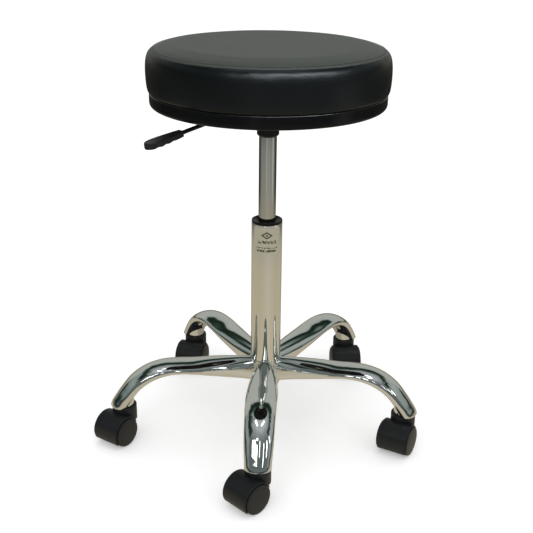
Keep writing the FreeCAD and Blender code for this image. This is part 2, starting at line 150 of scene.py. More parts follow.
def turned(name, outline, radii, material, rides, replaces, segments=128, steps=5):
    """Revolve a closed outline with rounded corners about the column axis."""
    bm = bmesh.new()
    rings = [axis_circle(bm, r, z, segments) for r, z in rounded(outline, radii, steps)]
    for first, second in zip(rings, rings[1:] + rings[:1]):
        for k in range(segments):
            after = (k + 1) % segments
            bm.faces.new((first[k], second[k], second[after], first[after]))
    declare(new_object(name, bm, material, angle=35), rides, replaces)


def revolve(bm, rows, segments):
    """Closed body from (r, z) rows that start and end on the column axis; returns the rings."""
    rings = [axis_circle(bm, r, z, segments) if r >= 0.01
             else [bm.verts.new((AXIS_X, AXIS_Y, z * MM))] for r, z in rows]
    for low, high in zip(rings[:-1], rings[1:]):
        if len(low) > 1 and len(high) > 1:
            join_rings(bm, low, high)
            continue
        for k in range(segments):
            after = (k + 1) % segments
            if len(low) == 1:
                bm.faces.new((low[0], high[after], high[k]))
            else:
                bm.faces.new((low[k], low[after], high[0]))
    return rings


def catmull_rom(points, per_span):
    """Curve through numbers or Vectors, per_span values a span, without the last point."""
    last = len(points) - 1
    out = []
    for i in range(last):
        p0, p1, p2, p3 = (points[j] for j in (max(i - 1, 0), i, i + 1, min(i + 2, last)))
        for step in range(per_span):
            t = step / per_span
            out.append(0.5 * (2 * p1 + (p2 - p0) * t + (2 * p0 - 5 * p1 + 4 * p2 - p3) * t * t
                              + (3 * p1 - p0 - 3 * p2 + p3) * t ** 3))
    return out


def smooth_outline(points, per_span):
    return [tuple(p) for p in catmull_rom([Vector(p) for p in points], per_span)] + [points[-1]]


# ---------------------------------------------------------------- node graphs
class Graph:
    """A node tree being built; most methods add a node and return its output socket."""

    def __init__(self, tree, coordinates):
        self.tree = tree
        tree.nodes.clear()
        self.position = self.add("ShaderNodeTexCoord").outputs[coordinates]

    def feed(self, socket, value):
        """Give a socket a number, a colour or a link."""
        if isinstance(value, (int, float)):
            socket.default_value = value
        elif isinstance(value, tuple):
            socket.default_value = (*value, 1)
        else:
            self.tree.links.new(value, socket)

    def add(self, kind, inputs=None, **properties):
        node = self.tree.nodes.new(kind)
        for key, value in properties.items():
            setattr(node, key, value)
        for key, value in (inputs or {}).items():
            self.feed(node.inputs[key], value)
        return node

    def noise(self, scale, detail=3.0, rough=0.5, output="Fac"):
        inputs = {"Vector": self.position, "Scale": scale, "Detail": detail, "Roughness": rough}
        return self.add("ShaderNodeTexNoise", inputs).outputs[output]

    def ramp(self, factor, stops):
        """Colour ramp from (position, colour) stops."""
        node = self.add("ShaderNodeValToRGB", {"Fac": factor})
        elements = node.color_ramp.elements
        while len(elements) > 1:
            elements.remove(elements[-1])
        elements[0].position = stops[0][0]
        elements[0].color = (*stops[0][1], 1)
        for position, colour in stops[1:]:
            elements.new(position).color = (*colour, 1)
        return node.outputs["Color"]

    def spread(self, value, low, high):
        """Map 0..1 linearly to low..high."""
        inputs = {"Value": value, "To Min": low, "To Max": high}
        return self.add("ShaderNodeMapRange", inputs).outputs["Result"]

    def smoothstep(self, value, start, end, low=0.0, high=1.0):
        inputs = {"Value": value, "From Min": start, "From Max": end, "To Min": low, "To Max": high}
        node = self.add("ShaderNodeMapRange", inputs, interpolation_type="SMOOTHSTEP")
        return node.outputs["Result"]

    def math(self, operation, a, b=None):
        inputs = {0: a} if b is None else {0: a, 1: b}
        return self.add("ShaderNodeMath", inputs, operation=operation).outputs[0]

    def times(self, a, b):
        return self.math("MULTIPLY", a, b)

    def mix(self, factor, a, b, mode="MIX"):
        inputs = {0: factor, 6: a, 7: b}       # 6 and 7 are the colour sockets
        return self.add("ShaderNodeMix", inputs, data_type="RGBA", blend_type=mode).outputs[2]

    def bump(self, height, strength, distance):
        inputs = {"Height": height, "Strength": strength, "Distance": distance}
        return self.add("ShaderNodeBump", inputs).outputs[0]

    def xyz(self, vector):
        return self.add("ShaderNodeSeparateXYZ", {0: vector}).outputs

    def from_axis(self):
        """x and y measured from the column axis, and z."""
        x, y, z = self.xyz(self.position)
        return self.math("SUBTRACT", x, AXIS_X), self.math("SUBTRACT", y, AXIS_Y), z

    def radius(self, x, y):
        return self.math("SQRT", self.math("ADD", self.times(x, x), self.times(y, y)))

    def azimuth(self, x, y):
        """Radians, 0 towards the camera (-Y), positive to the right (+X)."""
        return self.math("ARCTAN2", x, self.times(y, -1.0))

    def lobe(self, angle, centre, width, gain):
        """Bump in azimuth: gain at centre, 0 beyond width (radians)."""
        distance = self.math("ABSOLUTE", self.math("SUBTRACT", angle, centre))
        level = self.math("SUBTRACT", 1.0, self.math("DIVIDE", distance, width))
        level = self.math("MAXIMUM", level, 0.0)
        return self.times(self.math("POWER", level, 0.8), gain)


class Material(Graph):
    def __init__(self, name):
        self.material = bpy.data.materials.new(name)
        self.material.use_nodes = True
        super().__init__(self.material.node_tree, "Object")
        self.shader = self.add("ShaderNodeBsdfPrincipled")
        self.add("ShaderNodeOutputMaterial", {0: self.shader.outputs[0]})

    def set(self, **values):
        """Feed Principled inputs, written with underscores for spaces."""
        for key, value in values.items():
            self.feed(self.shader.inputs[key.replace("_", " ")], value)
        return self.material


# ---------------------------------------------------------------- materials
def polished(m, colour, low, high):
    """Metal of the given colour, with smudges between two roughness values."""
    smudge = m.noise(scale=14.0, detail=5.0, rough=0.65)
    return m.set(Base_Color=colour, Metallic=1.0, Roughness=m.spread(smudge, low=low, high=high),
                 Normal=m.bump(m.noise(scale=900.0, detail=2.0), strength=0.02, distance=0.0002))


def chrome(name, tint, rough):
    m = Material(name)
    haze = m.spread(m.noise(scale=35.0, detail=4.0, rough=0.6), low=0.0, high=0.5)
    colour = m.mix(haze, tint, tuple(c * 0.93 for c in tint))
    return polished(m, colour, low=rough * 0.6, high=rough + 0.025)


def rod_chrome():
    """Ground chrome of the gas cylinder: a warm grey with a painted reflection that goes dark close
    to its outline and pale again at the very edge.
    """
    m = Material("rod_chrome")
    facing = m.add("ShaderNodeLayerWeight", {"Blend": 0.5}).outputs["Facing"]
    # painted reflection: the colour darkens with the viewing angle towards the outline
    colour = m.ramp(facing, [
        (0.0, (0.60, 0.60, 0.56)), (0.30, (0.55, 0.55, 0.50)), (0.52, (0.42, 0.42, 0.37)),
        (0.66, (0.20, 0.20, 0.17)), (0.80, (0.28, 0.28, 0.24)), (1.0, (0.55, 0.55, 0.50))])
    return polished(m, colour, low=0.10, high=0.17)


def plastic(name, colour, rough, grain_scale, grain, spec=0.5, coat=0.0, shine_up=False):
    """Grained plastic or paint; shine_up keeps the full shine for faces that look up."""
    m = Material(name)
    pale = tuple(min(1, c * 1.8 + 0.004) for c in colour)
    mottle = m.spread(m.noise(scale=18.0, detail=4.0), low=0.0, high=0.25)
    texture = m.noise(scale=grain_scale, detail=3.0, rough=0.6)
    uneven = m.spread(m.noise(scale=60.0), low=rough - 0.05, high=rough + 0.07)
    m.set(Base_Color=m.mix(mottle, colour, pale), Roughness=uneven, Specular_IOR_Level=spec,
          Normal=m.bump(texture, strength=grain, distance=0.0003))
    if coat:
        m.set(Coat_Weight=coat, Coat_Roughness=0.05)
    if shine_up:
        upward = m.xyz(m.add("ShaderNodeNewGeometry").outputs["Normal"])[2]
        shine = m.smoothstep(upward, start=0.25, end=0.75, low=0.10, high=1.0)
        m.set(Specular_IOR_Level=shine, Coat_Weight=shine)
    return m.material


def vinyl():
    """Leather-grained vinyl: matt top panel inside the seam, lighter with painted sheen; smooth, dark
    side band.
    """
    m = Material("black_vinyl")
    # small cells of uneven size with soft creases
    drift = m.noise(scale=220.0, detail=2.0, output="Color")
    drift = m.add("ShaderNodeVectorMath", {0: drift, "Scale": 0.0035}, operation="SCALE").outputs[0]
    warped = m.add("ShaderNodeVectorMath", {0: m.position, 1: drift}, operation="ADD").outputs[0]
    cells = m.add("ShaderNodeTexVoronoi", {"Vector": warped, "Scale": 520.0},
                  feature="DISTANCE_TO_EDGE").outputs["Distance"]
    cells = m.math("MINIMUM", cells, 0.28)
    pores = m.noise(scale=2600.0, detail=2.0)
    height = m.math("ADD", m.times(cells, 2.2), m.times(pores, 0.35))

    x, y, z = m.from_axis()
    on_top = m.times(m.smoothstep(m.radius(x, y), start=0.1782, end=0.1762),
                     m.math("GREATER_THAN", z, 0.61))
    cloud = m.noise(scale=7.0)
    side_tone = m.mix(m.spread(cloud, low=0.0, high=0.6),
                      (0.0014, 0.0020, 0.0023), (0.0028, 0.0037, 0.0038))
    # painted sheen: the top panel gets a much lighter base tone than the side band
    painted_sheen_tone = m.mix(m.spread(cloud, low=0.0, high=0.6),
                     (0.034, 0.0360, 0.0315), (0.042, 0.0445, 0.0390))
    # painted shade darkens the creases between the grain cells
    crease = m.ramp(cells, [(0.0, (0.55, 0.55, 0.55)), (0.09, (1, 1, 1))])
    tone = m.mix(0.5, m.mix(on_top, side_tone, painted_sheen_tone), crease, "MULTIPLY")
    rough = m.spread(m.noise(scale=30.0, detail=4.0, rough=0.6), low=0.27, high=0.34)
    return m.set(Base_Color=tone,
                 Roughness=m.math("ADD", rough, m.times(on_top, 0.16)),
                 Specular_IOR_Level=m.math("SUBTRACT", 0.25, m.times(on_top, 0.11)),
                 Sheen_Weight=m.times(on_top, 0.08), Sheen_Roughness=0.28,
                 Sheen_Tint=(0.80, 0.86, 0.80),
                 Normal=m.bump(height, strength=0.22, distance=0.00035))


def dust_cloth():
    """Black woven dust cloth under the board."""
    m = Material("dust_cloth")
    x, y, _ = m.xyz(m.position)
    threads = 5200.0                     # radians per metre, both ways
    weave = m.times(m.math("SINE", m.times(x, threads)), m.math("SINE", m.times(y, threads)))
    cloud = m.spread(m.noise(scale=25.0, detail=4.0), low=0.0, high=0.6)
    return m.set(Base_Color=m.mix(cloud, (0.006, 0.006, 0.006), (0.014, 0.014, 0.013)),
                 Roughness=0.85, Normal=m.bump(weave, strength=0.4, distance=0.0003))


# Dashed print lines on the sticker: bottom z, top z, half width (mm), noise cut between dashes
PRINT_LINES = [(330.8, 335.6, 16.0, 0.47), (322.4, 324.4, 18.0, 0.45), (316.4, 320.2, 17.0, 0.42)]
DIAMOND_Z = 344.8
DIAMOND_SQUEEZE = 0.62                   # below 1 makes the diamond wider than tall
DIAMOND_OUTLINE = (3.6, 6.2)             # inner and outer half height, mm
DIAMOND_MIDDLE = 1.7
WRAP_R = 25.2                            # turns the angle round the column into mm


def sticker():
    """Cream film with dashed bands and a diamond: no lettering, no mark."""
    m = Material("plain_sticker")
    x, y, z = (m.times(distance, 1000.0) for distance in m.from_axis())
    along = m.times(m.azimuth(x, y), WRAP_R)

    def band(value, low, high):
        return m.times(m.math("GREATER_THAN", value, low), m.math("LESS_THAN", value, high))

    ink = None
    for bottom, top, half, cut in PRINT_LINES:
        line = m.times(band(z, bottom, top), band(along, -half, half))
        line = m.times(line, m.math("GREATER_THAN", m.noise(scale=430.0, detail=0.0), cut))
        ink = line if ink is None else m.math("MAXIMUM", ink, line)
    diamond = m.math("ADD", m.times(m.math("ABSOLUTE", along), DIAMOND_SQUEEZE),
                     m.math("ABSOLUTE", m.math("SUBTRACT", z, DIAMOND_Z)))
    ink = m.math("MAXIMUM", ink, band(diamond, *DIAMOND_OUTLINE))
    ink = m.math("MAXIMUM", ink, m.math("LESS_THAN", diamond, DIAMOND_MIDDLE))
    paper = m.mix(m.spread(m.noise(scale=260.0), low=0.0, high=0.5),
                  (0.50, 0.47, 0.35), (0.42, 0.39, 0.28))
    return m.set(Base_Color=m.mix(m.times(ink, 0.92), paper, (0.035, 0.028, 0.02)),
                 Roughness=0.32, Metallic=0.25, Coat_Weight=0.3, Coat_Roughness=0.2)


CHROME = chrome("leg_chrome", (0.86, 0.87, 0.86), rough=0.04)
COLUMN_CHROME = chrome("column_chrome", (0.88, 0.86, 0.80), rough=0.05)
ROD_CHROME = rod_chrome()
STEEL = chrome("plain_steel", (0.5, 0.5, 0.5), rough=0.25)
RING_BLACK = plastic("ring_gloss_black", (0.0015, 0.0015, 0.0017), rough=0.20,
                     grain_scale=500.0, grain=0.03, spec=0.10, coat=0.12, shine_up=True)
CASTER_BLACK = plastic("caster_black", (0.0085, 0.0098, 0.0108), rough=0.38,
                       grain_scale=1500.0, grain=0.16, spec=0.36)
WHEEL_BLACK = plastic("wheel_black", (0.0092, 0.0104, 0.0116), rough=0.36,
                      grain_scale=1500.0, grain=0.14, spec=0.36)
FITTING_BLACK = plastic("fitting_black", (0.0030, 0.0030, 0.0034), rough=0.33,
                        grain_scale=1300.0, grain=0.10, spec=0.25)
HANDLE_BLACK = plastic("handle_black", (0.0060, 0.0072, 0.0068), rough=0.34,
                       grain_scale=1300.0, grain=0.12, spec=0.40)
PAINT = plastic("painted_black_steel", (0.0040, 0.0040, 0.0040), rough=0.40,
                grain_scale=700.0, grain=0.18, spec=0.3)
VINYL = vinyl()
FOAM = plastic("cut_foam", (0.55, 0.50, 0.36), rough=0.9, grain_scale=900.0, grain=0.8)
STICKER = sticker()

# ---------------------------------------------------------------- cushion
# Cover outline, (r, z): up the side to the seam, the seam fold, then in to the centre
PAD_BASE = 573.6
PAD_TOP = 642.4
COVER_SIDE = [
    (150.0, PAD_BASE), (174.0, 573.5), (181.2, 573.6), (183.3, 575.6), (184.4, 579.5),
    (185.3, 588.0), (186.0, 600.0), (185.9, 610.0), (185.3, 618.0), (184.0, 624.5),
    (181.6, 629.6), (178.4, 633.3)]
COVER_FOLD = [(177.6, 634.0), (177.2, 634.3)]
COVER_TOP = [
    (176.6, 634.7), (173.0, 636.6), (167.0, 639.0), (160.0, 640.6), (150.0, 641.7),
    (135.0, 642.2), (110.0, PAD_TOP), (80.0, PAD_TOP), (50.0, PAD_TOP), (25.0, PAD_TOP),
    (0.0, PAD_TOP)]
# Slightly smaller drum of cloth before it is blown up, (r, z)
CLOTH_DRUM = [
    (0.0, PAD_BASE), (60.0, PAD_BASE), (120.0, PAD_BASE), (180.0, PAD_BASE), (184.0, 574.6),
    (185.0, 579.5), (185.5, 590.0), (186.0, 600.0), (185.9, 610.0), (185.4, 618.0),
    (184.4, 624.5), (182.3, 630.2), (178.5, 634.5), (173.4, 636.7), (167.0, 638.9),
    (160.0, 639.7), (150.0, 639.8), (135.0, 639.5), (110.0, 639.1), (80.0, 638.9),
    (50.0, 638.9), (25.0, 638.9), (0.0, 638.9)]
CLOTH_PIN_Z = 577.5 * MM                        # cloth below this is fully pinned
CLOTH_SEAM_R, CLOTH_SEAM_Z = 177.0 * MM, 633.5 * MM
CLOTH_SEAM_REACH = 6.0 * MM
PAD_CAP = 6.5 * MM        # how far the cloth may move
PAD_ROOM = 0.8 * MM       # how much of that is left to the cover
COVER_MAX_R = 186.3       # beyond this and PAD_TOP the cover keeps only SPILL of the excess
SPILL = 0.25
COVER_FIXED_Z = 576.0     # rows up to here are left as drawn
SEAM_R = 177.4
GATHER_Z = 634.0          # centre of the gathers beside the seam
STITCH_LINE_Z = 634.1     # centre of the groove pulled in by the stitching


def clamp(value):
    return min(1.0, max(0.0, value))


def bell(distance, width):
    return math.exp(-(distance / width) ** 2)


def ring_noise(angle, scale, height):
    """Noise that closes on itself round the pad."""
    return noise.noise(Vector((math.cos(angle) * scale, math.sin(angle) * scale, height)))


def hold_weight(co):
    """How firmly the cloth is held: pinned under the rim, unevenly held along the seam."""
    x, y = co.x - AXIS_X, co.y - AXIS_Y
    if co.z < CLOTH_PIN_Z:
        return 1.0
    if math.hypot(math.hypot(x, y) - CLOTH_SEAM_R, co.z - CLOTH_SEAM_Z) < CLOTH_SEAM_REACH:
        # an uneven pull round the seam gives the cover its slow gathers
        pull = 0.5 + 0.5 * ring_noise(math.atan2(y, x), scale=5.5, height=2.3)
        return 0.30 + 0.45 * pull
    return 0.0


def add_cloth(ob, held_group):
    cloth = ob.modifiers.new("cloth", "CLOTH")
    settings = cloth.settings
    settings.quality = 5
    settings.mass = 0.35
    settings.tension_stiffness = 5
    settings.compression_stiffness = 5
    settings.shear_stiffness = 2
    settings.bending_stiffness = 0.3
    settings.use_pressure = True
    settings.uniform_pressure_force = 4.0
    settings.effector_weights.gravity = 0.0
    settings.vertex_group_mass = held_group
    cloth.collision_settings.use_self_collision = False
    cloth.point_cache.frame_start = 1
    cloth.point_cache.frame_end = 24


def swollen_pad():
    """Blow the cloth drum up by pressure and return a search tree of the result."""
    bm = bmesh.new()
    revolve(bm, CLOTH_DRUM, 160)
    ob = new_object("pad_cloth", bm)
    voxels = ob.modifiers.new("voxels", "REMESH")
    voxels.mode = "VOXEL"
    voxels.voxel_size = 0.005
    depsgraph = bpy.context.evaluated_depsgraph_get()
    mesh = bpy.data.meshes.new_from_object(ob.evaluated_get(depsgraph))
    ob.modifiers.clear()
    ob.data = mesh
    rest = [v.co.copy() for v in mesh.vertices]
    held = ob.vertex_groups.new(name="held")
    for v in mesh.vertices:
        weight = hold_weight(v.co)
        if weight > 0:
            held.add([v.index], weight, "REPLACE")
    add_cloth(ob, "held")
    for number in range(1, 21):
        bpy.context.scene.frame_set(number)
    depsgraph = bpy.context.evaluated_depsgraph_get()
    moved = [v.co.copy() for v in ob.evaluated_get(depsgraph).data.vertices]
    bpy.context.scene.frame_set(1)
    ob.modifiers.clear()
    for i, (start, end) in enumerate(zip(rest, moved)):
        shift = end - start
        if shift.length > PAD_CAP:
            excess = math.tanh(shift.length / PAD_CAP - 1)
            shift = shift.normalized() * (PAD_CAP * (1 + 0.06 * excess))
        mesh.vertices[i].co = start + shift
    # even out the facets left by the remeshing
    bm = bmesh.new()
    bm.from_mesh(mesh)
    for _ in range(3):
        bmesh.ops.smooth_vert(bm, verts=bm.verts, factor=0.5,
                              use_axis_x=True, use_axis_y=True, use_axis_z=True)
    tree = BVHTree.FromBMesh(bm)
    bm.free()
    bpy.data.objects.remove(ob)
    return tree


def shape_cover_vertex(v, r, z, tree):
    """Move one vertex of the outline row (r, z) to the swollen cloth and cut in the seam."""
    dx, dy = v.co.x - AXIS_X, v.co.y - AXIS_Y
    radius = math.hypot(dx, dy)
    angle = math.atan2(dy, dx)
    # rough outward direction: sideways on the side band, upward on the top panel
    edge = clamp((r - 150.0) / 30.0) if z > 625 else 1.0
    up = clamp((z - 622.0) / 14.0)
    outward = Vector((dx / radius * (1 - up * 0.75) if radius else 0,
                      dy / radius * (1 - up * 0.75) if radius else 0,
                      up + (1 - edge) * up)).normalized()
    if tree is not None:
        hit = tree.ray_cast(v.co + outward * 0.02, -outward, 0.05)[0]
        if hit is not None:
            move = PAD_ROOM * math.tanh((hit - v.co).dot(outward) / PAD_ROOM)
            v.co += outward * (move * min(1.0, (z - COVER_FIXED_Z) / 10.0))
    # slow waves everywhere but at the rim and centre, with short gathers near the seam
    fade = clamp((z - 577) / 12) * clamp((radius - 0.10) / 0.06)
    waves = ring_noise(angle, scale=2.6, height=z * 0.02)
    gathers = ring_noise(angle, scale=13, height=z * 0.05 + 7)
    near = bell(math.hypot(r - SEAM_R, z - GATHER_Z), width=9.0)
    offset = (0.00035 * waves + 0.00035 * gathers * near) * fade
    # a narrow groove inside a wide dip along the stitching
    gap = math.hypot(r - SEAM_R, z - STITCH_LINE_Z)
    offset -= 0.0007 * bell(gap, width=0.9) + 0.0004 * bell(gap, width=4.5)
    v.co += outward * offset
    top = PAD_TOP * MM
    if v.co.z > top:
        v.co.z = top + SPILL * (v.co.z - top)
    radius = math.hypot(v.co.x - AXIS_X, v.co.y - AXIS_Y)
    limit = COVER_MAX_R * MM
    if radius > limit:
        shrink = (limit + SPILL * (radius - limit)) / radius
        v.co.x = AXIS_X + (v.co.x - AXIS_X) * shrink
        v.co.y = AXIS_Y + (v.co.y - AXIS_Y) * shrink


def make_cushion():
    tree = swollen_pad()
    rows = [(0.0, PAD_BASE), (80.0, PAD_BASE)] + smooth_outline(COVER_SIDE, 5)
    rows += COVER_FOLD + smooth_outline(COVER_TOP, 6)
    bm = bmesh.new()
    for (r, z), ring in zip(rows, revolve(bm, rows, 288)):
        if z > COVER_FIXED_Z:
            for v in ring:
                shape_cover_vertex(v, r, z, tree)
    return new_object("cushion", bm, VINYL, angle=60)


cushion = make_cushion()
declare(cushion, "seat", replaces="cushion_cover")

STITCH_COUNT = 190
STITCH_R, STITCH_Z = 174.0 * MM, 636.25 * MM
STITCH_HALF = 1.9 * MM
THREAD_R = 0.22 * MM
# Along the stitch (-1..1 of its half length), height above the cover (mm)
STITCH_ARCH = [(-1.0, -0.20), (-0.7, 0.16), (0.0, 0.22), (0.7, 0.16), (1.0, -0.20)]


def make_stitches():
    """Ring of short raised stitches just inside and above the seam."""
    bm = bmesh.new()
    for a in full_turn(STITCH_COUNT):
        centre = Vector((AXIS_X + STITCH_R * math.cos(a), AXIS_Y + STITCH_R * math.sin(a), STITCH_Z))
        along = Vector((-math.sin(a), math.cos(a), 0))
        normal = Vector((math.cos(a) * 0.42, math.sin(a) * 0.42, 0.9)).normalized()
        across = along.cross(normal)
        rings = [cord_ring(bm, centre + along * (s * STITCH_HALF) + normal * (height * MM),
                           across, normal, THREAD_R, sides=6) for s, height in STITCH_ARCH]
        for first, second in zip(rings[:-1], rings[1:]):
            join_rings(bm, first, second)
        bm.faces.new(rings[0])
        bm.faces.new(list(reversed(rings[-1])))
    return new_object("seam_stitches", bm, HANDLE_BLACK)


declare(make_stitches(), "seat")

# ---------------------------------------------------------------- turned pieces
# Outlines are (r, z) in mm; the second list holds the corner radii in the same order.
turned("seat_trim_ring",
       [(178.5, 572.0), (181.5, 572.0), (181.5, 551.5), (167.0, 551.5), (167.0, 554.1),
        (178.5, 554.1)],
       [0.4, 1.6, 7.5, 0.5, 0.5, 3.0],
       RING_BLACK, "seat", "trim_ring", segments=256, steps=8)
ring = bpy.data.objects["seat_trim_ring"]

turned("gas_cylinder_chrome",
       [(12.0, 262.0), (ROD_R, 262.0), (ROD_R, 506.5), (13.4, 547.0), (12.6, 548.0),
        (3.05, 548.0), (3.05, 520.0), (12.0, 520.0)],
       [0, 0.6],
       ROD_CHROME, "seat", "gas_cylinder")

turned("sleeve_collar_black",
       [(ROD_R + FIT, 501.0), (14.4, 501.0), (17.4, 504.0), (17.4, 540.0), (16.05, 540.0),
        (16.05, 505.9), (ROD_R + FIT, 505.9)],
       [0, 0.5, 1.2, 0.8],
       FITTING_BLACK, "seat", "sleeve_collar")

turned("guide_bushing_black",
       [(ROD_R + FIT, 290.0), (TUBE_BORE_R - FIT, 290.0), (TUBE_BORE_R - FIT, 360.52),
        (24.8, 360.52), (24.9, 364.4), (23.1, 364.4), (16.4, 361.6), (ROD_R + FIT, 361.6)],
       [0, 0, 0, 0.4, 0.9, 0.9, 0.8, 0.2],
       FITTING_BLACK, "base", "guide_bushing")

turned("column_chrome_tube",
       [(TUBE_BORE_R, 360.5), (TUBE_R, 360.5), (TUBE_R, 124.0), (23.6, 69.5), (23.2, 67.5),
        (21.6, 67.5), (21.6, 74.0), (TUBE_BORE_R, 124.0)],
       [0.2, 0.4, 6.0, 0.8, 0.5, 0.3],
       COLUMN_CHROME, "base", "column_tube", segments=160, steps=6)

LABEL_RADII = (TUBE_R + 0.28, TUBE_R + 0.02)     # outer and inner skin
LABEL_Z, LABEL_HALF_HEIGHT = 335.0, 22.0
LABEL_HALF_ANGLE = 54                            # degrees either side of the front
LABEL_ROWS, LABEL_COLUMNS = 28, 48


def make_label():
    """Thin curved sheet wrapped round the front of the column."""
    bm = bmesh.new()
    skins = []
    for radius in LABEL_RADII:
        skin = []
        for i in range(LABEL_ROWS + 1):
            z = LABEL_Z + LABEL_HALF_HEIGHT * (i / LABEL_ROWS * 2 - 1)
            row = []
            for j in range(LABEL_COLUMNS + 1):
                a = math.radians(-90 + LABEL_HALF_ANGLE * (j / LABEL_COLUMNS * 2 - 1))
                row.append(bm.verts.new((AXIS_X + radius * MM * math.cos(a),
                                         AXIS_Y + radius * MM * math.sin(a), z * MM)))
            skin.append(row)
        skins.append(skin)
    for skin in skins:
        for low, high in zip(skin[:-1], skin[1:]):
            for j in range(LABEL_COLUMNS):
                bm.faces.new((low[j], low[j + 1], high[j + 1], high[j]))
    outer, inner = skins
    for i in range(LABEL_ROWS):
        for j in (0, -1):
            bm.faces.new((outer[i][j], outer[i + 1][j], inner[i + 1][j], inner[i][j]))
    for j in range(LABEL_COLUMNS):
        for i in (0, -1):
            bm.faces.new((outer[i][j], outer[i][j + 1], inner[i][j + 1], inner[i][j]))
    return new_object("column_sticker", bm, STICKER, angle=40)


declare(make_label(), "base", replaces="column_label")

turned("hub_sleeve_chrome",
       [(TUBE_R + FIT, 74.5), (HUB_R, 74.5), (HUB_R, 118.0), (TUBE_R + FIT, 118.0)],
       [0.1, 0.7, 0.9, 0.1],
       CHROME, "base", "hub_sleeve")

# ---------------------------------------------------------------- legs
# Stations of the oval tube: distance from the axis, z, half width, half height
LEG_STATIONS = [
    (20.0, 97.5, 13.5, 21.5), (45.5, 102.8, 18.6, 19.5), (71.2, 107.2, 22.2, 17.3),
    (96.9, 111.0, 23.8, 14.7), (122.7, 114.6, 24.8, 11.6), (148.5, 118.2, 25.1, 10.1),
    (174.5, 118.3, 24.7, 10.7), (199.7, 112.0, 23.9, 11.7), (221.7, 98.4, 23.0, 11.8),
    (237.6, 80.4, 22.0, 11.9), (246.5, 67.5, 21.0, 12.6), (251.6, 58.0, 20.5, 13.6),
    (252.6, 48.0, 20.3, 14.2)]
LEG_SIDES = 96
LEG_WALL = 1.8
LEG_END_Z = 60.6          # the tube is cut level here
WELD_STEPS = 96


def leg_sections():
    """Fine stations (distance, z, slope in degrees, half width, half height) along a leg."""
    distances, heights, widths, depths = (
        catmull_rom(column, 9) + [column[-1]] for column in zip(*LEG_STATIONS))
    last = len(distances) - 1
    slopes = []
    for i in range(last + 1):
        before, after = max(i - 1, 0), min(i + 1, last)
        slopes.append(math.degrees(math.atan2(heights[after] - heights[before],
                                              distances[after] - distances[before])))
    for _ in range(6):
        middle = [(slopes[i - 1] + 2 * slopes[i] + slopes[i + 1]) / 4 for i in range(1, last)]
        slopes = [slopes[0]] + middle + [slopes[-1]]
    return list(zip(distances, heights, slopes, widths, depths))


SECTIONS = leg_sections()


def oval_point(section, angle, shrink=0.0):
    """Point on the leg surface, for a leg that runs along +X."""
    distance, z, slope, half_width, half_height = section
    tilt = math.radians(slope)
    side = (half_width - shrink) * math.cos(angle)
    rise = (half_height - shrink) * math.sin(angle)
    return Vector((distance - math.sin(tilt) * rise, side, z + math.cos(tilt) * rise))


def leg_shell(bm, shrink):
    rings = [[bm.verts.new(oval_point(section, a, shrink)) for a in full_turn(LEG_SIDES)]
             for section in SECTIONS]
    for first, second in zip(rings[:-1], rings[1:]):
        join_rings(bm, first, second)
    return rings


def place_leg_part(bm, azimuth):
    """Scale to metres, turn to the leg's azimuth and move to the column axis."""
    turn = Matrix.Rotation(math.radians(azimuth), 4, "Z")
    move = Matrix.Translation((AXIS_X, AXIS_Y, 0))
    bmesh.ops.transform(bm, matrix=move @ turn @ Matrix.Scale(MM, 4), verts=bm.verts)


def make_leg(name, azimuth):
    bm = bmesh.new()
    outer = leg_shell(bm, 0.0)
    inner = leg_shell(bm, LEG_WALL)
    join_rings(bm, outer[0], inner[0])          # close the wall at the root
    bmesh.ops.bisect_plane(bm, geom=bm.verts[:] + bm.edges[:] + bm.faces[:],
                           plane_co=(0, 0, LEG_END_Z), plane_no=(0, 0, -1), clear_outer=True)
    bmesh.ops.bridge_loops(bm, edges=[e for e in bm.edges if len(e.link_faces) == 1])
    place_leg_part(bm, azimuth)
    return new_object("leg_%s_chrome" % name, bm, CHROME, angle=38)


def hub_crossing(angle):
    """Where one lengthwise line of the leg leaves the hub sleeve."""
    points = [oval_point(section, angle) for section in SECTIONS]
    for near, far in zip(points[:-1], points[1:]):
        near_r, far_r = math.hypot(near.x, near.y), math.hypot(far.x, far.y)
        if far_r >= HUB_R >= near_r:
            return near.lerp(far, (HUB_R - near_r) / (far_r - near_r))
    return points[-1]


def make_weld(name, azimuth):
    """Weld bead where the leg tube meets the hub sleeve."""
    path = [hub_crossing(a) for a in full_turn(WELD_STEPS)]
    bm = bmesh.new()
    rings = []
    for i, point in enumerate(path):
        along = (path[(i + 1) % WELD_STEPS] - path[i - 1]).normalized()
        across = along.cross(Vector((point.x, point.y, 0)).normalized()).normalized()
        outward = across.cross(along).normalized()
        ripple = 1.25 + 0.12 * math.sin(i * 2.1)
        rings.append(cord_ring(bm, point, across, outward, ripple, sides=12))
    for first, second in zip(rings, rings[1:] + rings[:1]):
        join_rings(bm, first, second)
    place_leg_part(bm, azimuth)
    return new_object("hub_weld_" + name, bm, CHROME)


for leg, azimuth in LEG_AZ.items():
    declare(make_leg(leg, azimuth), "base", replaces="leg_" + leg)
for leg, azimuth in LEG_AZ.items():
    declare(make_weld(leg, azimuth), "base")

# ---------------------------------------------------------------- CAD pieces kept as they are
KEPT = [
    (CHROME, ["caster_sockets"]),
    (STEEL, ["caster_stems", "stem_grip_rings", "column_end_plate", "thrust_race", "piston_rod",
             "piston_head", "thrust_balls", "thrust_cap", "rod_clip", "plate_screws",
             "lever_pivot_pin", "release_pin"] + ["caster_%s_axle" % leg for leg in LEG_AZ]),
    (FITTING_BLACK, ["bump_stop", "cylinder_gland"]),
    (PAINT, ["plate_sleeve", "seat_plate", "lever_rod"]),
    (dust_cloth(), ["ply_board"]),
    (FOAM, ["foam_core"]),
    (HANDLE_BLACK, ["lever_handle"]),
    (CASTER_BLACK, ["caster_%s_hood" % leg for leg in LEG_AZ]),
    (WHEEL_BLACK, ["caster_%s_wheel_%s" % (leg, side) for leg in LEG_AZ
                   for side in ("right", "left")])]
